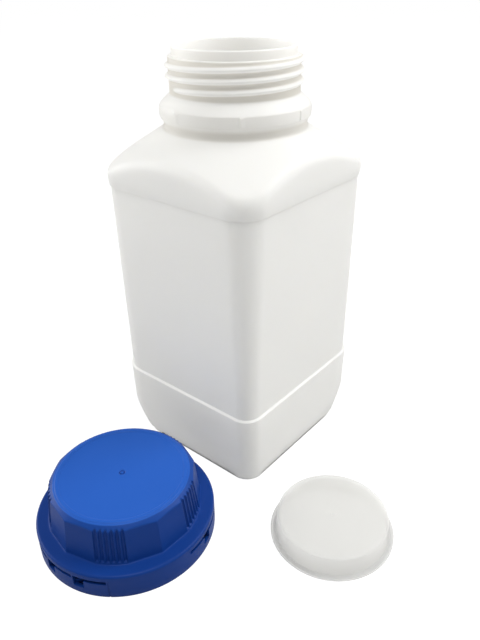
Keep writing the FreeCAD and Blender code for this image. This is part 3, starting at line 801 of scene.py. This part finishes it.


# The neck's hollows take painted shade, warmer and darker, over the white.
white = moulded(
    "white_polyethylene", light=(0.90, 0.90, 0.885, 1), dark=(0.875, 0.875, 0.86, 1),
    roughness=0.42, settings={
        "Subsurface Weight": 0.08, "Subsurface Radius": (1.0, 0.9, 0.7),
        "Subsurface Scale": 0.001, "Specular IOR Level": 0.4},
    peel=0.00003, peel_scale=700.0, height_map=draw_lines, painted_shade=painted_neck_shade, through=0.4)
# Below its crown the cap takes painted shade, a deeper blue.
blue = moulded(
    "blue_polyethylene", light=(0.019, 0.098, 0.44, 1), dark=(0.017, 0.092, 0.42, 1),
    roughness=0.38, settings={"Specular IOR Level": 0.1},
    peel=0.00001, peel_scale=900.0, painted_shade=painted_cap_shade)
natural = moulded(
    "natural_polyethylene", light=(0.71, 0.71, 0.69, 1), dark=(0.675, 0.675, 0.655, 1),
    roughness=0.38, settings={"Alpha": 0.45, "Specular IOR Level": 0.5},
    peel=0.00001, peel_scale=500.0, height_map=turned_rings, through=0.3)

# %% [markdown]
# ## Dressing the pieces
# Each shell takes its finish and is tied to the model: it rides on the one body and stands for its
# CAD node, which is hidden. The hidden node gets the same finish, so that whatever shows it later
# shows the right plastic.

# %% Dress the pieces
for piece, node, slot, finish in (
    (bottle, "bottle", "bottle_plastic", white),
    (cap, "screw_cap", "cap_plastic", blue),
    (plug, "inner_plug", "plug_plastic", natural),
):
    piece.data.materials.append(finish)
    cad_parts[node].data.materials.clear()
    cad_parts[node].data.materials.append(finish)
    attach(piece, "root")
    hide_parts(node)
    print(piece.name, "stands for", node)

# %% [markdown]
# ## Floor and light
# The bottle stands on a plain pale sheet. Where the camera looks straight at it, four fifths of its
# look is a glow, which with the sheet's own shade comes to white. So the sheet meets the white
# world without an edge and still keeps the soft shadows, and no more light falls on the bottle.
# The glow stops under the cap and is weaker under the see-through plug.

# %% The floor and the world
def make_floor():
    """A square sheet, whose glow fades over the last millimetre before the edge of a piece."""
    size = 3.0
    corners = [(-size, -size, 0), (size, -size, 0), (size, size, 0), (-size, size, 0)]
    mesh = bpy.data.meshes.new("floor")
    mesh.from_pydata(corners, [], [(0, 1, 2, 3)])
    floor = bpy.data.objects.new("floor", mesh)
    bpy.context.scene.collection.objects.link(floor)
    finish = Finish(bpy.data.materials.new("white_sheet"))
    place = finish.node("ShaderNodeTexCoord", output="Object")
    seen = 0.8 * finish.node("ShaderNodeLightPath", output="Is Camera Ray")
    under_cap = (CAP_X, CAP_Y, SKIRT - 1.0, 0.0)
    under_plug = (PLUG_X, PLUG_Y, FLANGE - 0.5, 0.4)
    for x, y, reach, least in (under_cap, under_plug):
        away = finish.node("ShaderNodeVectorMath", {"operation": "DISTANCE"}, {
            0: place, 1: (x * MM, y * MM, 0.0)}, output=1)
        seen = seen * (least + (1.0 - least) * slope_up(away, (reach - 1.0) * MM, reach * MM))
    sheet = finish.node("ShaderNodeBsdfDiffuse", {}, {"Color": (0.7, 0.7, 0.7, 1)})
    glow = finish.node("ShaderNodeEmission", {}, {"Color": (1, 1, 1, 1), "Strength": 1.2})
    surface = finish.node("ShaderNodeMixShader", {}, {0: seen, 1: sheet, 2: glow})
    finish.node("ShaderNodeOutputMaterial", {}, {"Surface": surface})
    mesh.materials.append(finish.owner)
    print("floor:", 2 * size, "m square")


def make_world():
    """Pale even light. The camera and thin plastic see it as white, and a gloss as 0.45 of that."""
    world = bpy.data.worlds.new("room")
    bpy.context.scene.world = world
    finish = Finish(world)
    camera_ray, glossy_ray, through_ray = (
        finish.node("ShaderNodeLightPath", output=kind)
        for kind in ("Is Camera Ray", "Is Glossy Ray", "Is Transmission Ray"))
    seen = camera_ray.or_more((0.45 * glossy_ray).or_more(through_ray))
    even, plain = (
        finish.node("ShaderNodeBackground", {}, {"Color": (level, level, level, 1)})
        for level in (0.28, 1.0))
    light = finish.node("ShaderNodeMixShader", {}, {0: seen, 1: even, 2: plain})
    finish.node("ShaderNodeOutputWorld", {}, {"Surface": light})
    print("world:", world.name, "nodes:", len(finish.tree.nodes))


make_floor()
make_world()

# %% [markdown]
# ## Lamps
# Two lamps hang high, one in front and one behind on the right, so the shoulder, the upper flanks
# of the thread and the top of the cap are the brightest. Two broad lamps stand lower, one on each
# side, and light the two faces of the bottle.

# %% The lamps
def make_lamp(name, place, size, watts):
    """Square area lamp at a place in metres, facing the lower part of the object."""
    lamp = bpy.data.lights.new(name, "AREA")
    lamp.shape = "SQUARE"
    lamp.size = size
    lamp.energy = watts
    holder = bpy.data.objects.new(name, lamp)
    bpy.context.scene.collection.objects.link(holder)
    way = Vector((0.02, -0.02, 0.06)) - Vector(place)
    holder.rotation_euler = way.to_track_quat("-Z", "Y").to_euler()
    holder.location = place
    print(name, "at", place, "with", watts, "W")


make_lamp("front_lamp", (0.25, -0.30, 1.2), 0.5, 6.2)
make_lamp("back_lamp", (0.6, 0.6, 1.0), 0.6, 8.0)
make_lamp("left_lamp", (-1.1, -0.55, 0.45), 0.8, 10.4)
make_lamp("right_lamp", (0.75, 1.0, 0.45), 0.8, 4.7)

# %% [markdown]
# ## The camera
# The photograph was taken from in front of one corner, looking down by 30 degrees. The camera's
# place and its lens were found by fitting the outlines of the three pieces.

# %% The camera
def make_camera():
    """Camera from its three axes and its place, in metres."""
    right = Vector((0.774907, 0.632004, -0.009490))
    up = Vector((-0.306533, 0.388889, 0.868794))
    back = Vector((0.552771, -0.670326, 0.495083))
    camera = bpy.data.cameras.new("camera")
    camera.sensor_fit = "HORIZONTAL"
    camera.sensor_width = 36.0
    camera.lens = 46.311
    camera.shift_x = -0.0147
    camera.shift_y = -0.0057
    camera.clip_start = 0.01
    holder = bpy.data.objects.new("camera", camera)
    bpy.context.scene.collection.objects.link(holder)
    holder.matrix_world = Matrix((
        (right.x, up.x, back.x, 0.177658),
        (right.y, up.y, back.y, -0.209151),
        (right.z, up.z, back.z, 0.211923),
        (0, 0, 0, 1)))
    bpy.context.scene.camera = holder
    return holder


camera = make_camera()
bpy.context.scene.view_settings.view_transform = "Standard"
print("camera at", tuple(round(value, 3) for value in camera.location))

# %% [markdown]
# ## The end
# The view layer is brought up to date.

# %% The end
bpy.context.view_layer.update()
